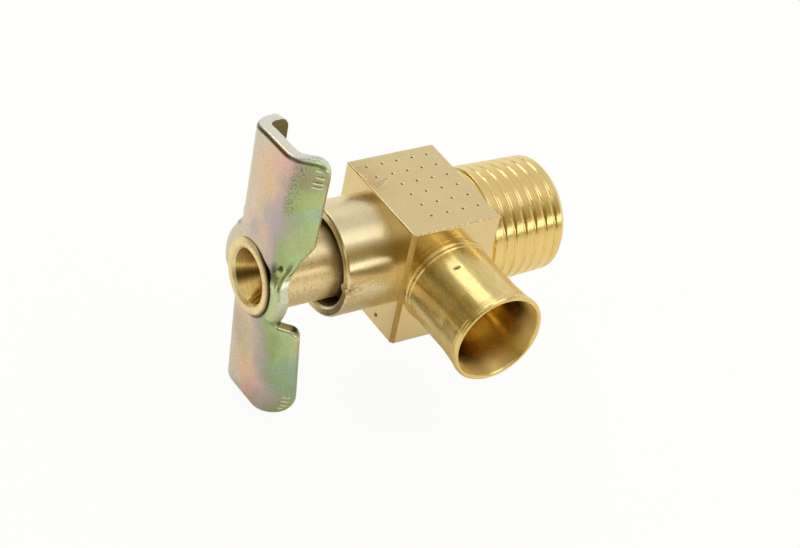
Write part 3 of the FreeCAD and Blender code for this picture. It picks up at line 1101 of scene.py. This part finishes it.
outer_loop = resampled(outline, LOOP_STEP)
hole_angles = [2 * math.pi * k / HUB_HOLE_SEGMENTS for k in range(HUB_HOLE_SEGMENTS)]
hole_loop = [(-HUB_HOLE_RADIUS * math.sin(a), -WINGS_RAISED - HUB_HOLE_RADIUS * math.cos(a))
             for a in hole_angles]
roll = [(ROLL * (1 - math.sin(a)), ROLL_DEPTH * (1 - math.cos(a))) for a in quarter(10)]
burr = [(BURR * (1 - math.cos(a)), SHEET - BURR * (1 - math.sin(a))) for a in quarter(30)]
handle = Mesh()
skin(handle, inset(outer_loop, ROLL), hole_loop, 0.0, FRONT)
skin(handle, inset(outer_loop, BURR), hole_loop, SHEET, BACK)
sheared(handle, outer_loop, roll, FRONT)
sheared(handle, outer_loop, roll[-1:] + burr, CUT)
sheared(handle, hole_loop, [(0.0, 0.0), (0.0, SHEET)], CUT)
turn = Matrix.Rotation(HANDLE_TURN, 3, "X")
raised = Vector((0, 0, WINGS_RAISED))
move = Vector((SHANK_BACK - SHEET, 0, 0))
handle.points = [turn @ (Vector(p) + raised) + move for p in handle.points]
handle_piece = handle.make("handle_dressed", [zinc, zinc_edge, zinc_inside_shaded], sharp=40)
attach(handle_piece, "handle")
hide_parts("handle")

# Floor, in metres
FLOOR_HALF = 3.0
FLOOR_GAP = 0.0002
FLOOR_COLOUR = (0.9, 0.87, 0.79, 1)
WHITE = (1, 1, 1, 1)


def white_floor():
    """A matte floor that also glows: nearly white when looked at, a little in reflections."""
    material, tree = new_material("studio_floor")
    path = node(tree, "LightPath").outputs
    mirrored = maths(tree, "MAXIMUM", path["Is Glossy Ray"], path["Is Transmission Ray"])
    mirrored = maths(tree, "MULTIPLY", mirrored, 0.08)
    looked_at = maths(tree, "MULTIPLY", path["Is Camera Ray"], 0.93)
    share = maths(tree, "MAXIMUM", mirrored, looked_at)
    matte = node(tree, "BsdfDiffuse", [("Color", FLOOR_COLOUR)])
    glow = node(tree, "Emission", [("Color", WHITE), ("Strength", 1.0)])
    shader = node(tree, "MixShader", [(0, share), (1, matte.outputs[0]), (2, glow.outputs[0])])
    node(tree, "OutputMaterial", [(0, shader.outputs[0])])
    return material


floor_mesh = bpy.data.meshes.new("floor")
floor_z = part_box("handle")[0].z - FLOOR_GAP
floor_corners = [(FLOOR_HALF * x, FLOOR_HALF * y, floor_z) for x, y in ((-1, -1), (1, -1), (1, 1), (-1, 1))]
floor_mesh.from_pydata(floor_corners, [], [(0, 1, 2, 3)])
floor_mesh.materials.append(white_floor())
floor = bpy.data.objects.new("floor", floor_mesh)
scene.collection.objects.link(floor)

# Studio light: a bright wall behind the part, a pale ceiling and a dim warm room
ROOM_STOPS = [
    (0.0, (0.25, 0.185, 0.05)),
    (0.3, (0.44, 0.38, 0.21)),
    (0.7, (0.70, 0.69, 0.66)),
    (1.0, (1.0, 1.0, 1.0)),
]
WALL_DIRECTION = (0.85, 0.53, 0.0)


def studio_world():
    world = bpy.data.worlds.new("studio")
    world.use_nodes = True
    tree = world.node_tree
    tree.nodes.clear()
    direction = node(tree, "TexCoord").outputs["Generated"]
    z = node(tree, "SeparateXYZ", [(0, direction)]).outputs[2]
    overhead = grey_ramp(tree, z, 0.58, 0.8, 0.0, 0.80)
    behind = node(tree, "VectorMath", [(0, direction), (1, WALL_DIRECTION)], operation="DOT_PRODUCT")
    wall = grey_ramp(tree, behind.outputs["Value"], 0.05, 0.5)
    wall = maths(tree, "MULTIPLY", wall, grey_ramp(tree, z, 0.1, 0.6, 1.0, 0.76))
    light = ramp(tree, maths(tree, "MAXIMUM", overhead, wall), ROOM_STOPS)
    room = node(tree, "Background", [(0, light), (1, 1.0)])
    white = node(tree, "Background", [(0, WHITE), (1, 1.0)])
    looked_at = node(tree, "LightPath").outputs["Is Camera Ray"]
    shader = node(tree, "MixShader", [(0, looked_at), (1, room.outputs[0]), (2, white.outputs[0])])
    node(tree, "OutputWorld", [(0, shader.outputs[0])])
    return world


def softbox(name, direction, distance, width, height, power, mirrored=True):
    """A flat lamp that faces the origin. Sizes are in metres, power in watts."""
    lamp = bpy.data.lights.new(name, "AREA")
    lamp.shape = "RECTANGLE"
    lamp.size = width
    lamp.size_y = height
    lamp.energy = power
    obj = bpy.data.objects.new(name, lamp)
    toward = Vector(direction).normalized()
    obj.location = toward * distance
    obj.rotation_euler = toward.to_track_quat("Z", "Y").to_euler()
    obj.visible_glossy = mirrored
    scene.collection.objects.link(obj)


scene.world = studio_world()
softbox("floor_softbox", (0.3, 0.55, 0.78), 0.8, 0.45, 0.45, 2.0, mirrored=False)
softbox("top_softbox", (-0.03, 0.62, 0.78), 0.7, 0.32, 0.32, 0.45)
softbox("front_strip", (0.504, -0.838, 0.206), 0.6, 0.5, 0.09, 0.34)
softbox("mouth_softbox", (0.19, -0.33, 0.92), 0.6, 0.3, 0.3, 0.34)
softbox("side_softbox", (-0.95, -0.13, 0.27), 0.6, 0.3, 0.3, 0.3)

# Camera at the photograph's viewing angle
AZIMUTH = math.radians(-39.0)
ELEVATION = math.radians(36.74)
ROLL_ANGLE = math.radians(12.28)
TARGET = Vector((-5.749, -0.0275, -4.876))
DISTANCE = 248.08
SENSOR_WIDTH = 36
FOCAL_LENGTH = 99
camera_data = bpy.data.cameras.new("camera")
camera_data.sensor_width = SENSOR_WIDTH
camera_data.lens = FOCAL_LENGTH
camera = bpy.data.objects.new("camera", camera_data)
outward = math.cos(ELEVATION)
back = Vector((math.sin(AZIMUTH) * outward, -math.cos(AZIMUTH) * outward, math.sin(ELEVATION)))
level = Vector((math.cos(AZIMUTH), math.sin(AZIMUTH), 0))
upright = back.cross(level)
right = level * math.cos(ROLL_ANGLE) + upright * math.sin(ROLL_ANGLE)
up = back.cross(right)
aim = Matrix((right, up, back)).transposed().to_4x4()
camera.matrix_world = Matrix.Translation((TARGET + back * DISTANCE) * MM) @ aim
scene.collection.objects.link(camera)
scene.camera = camera
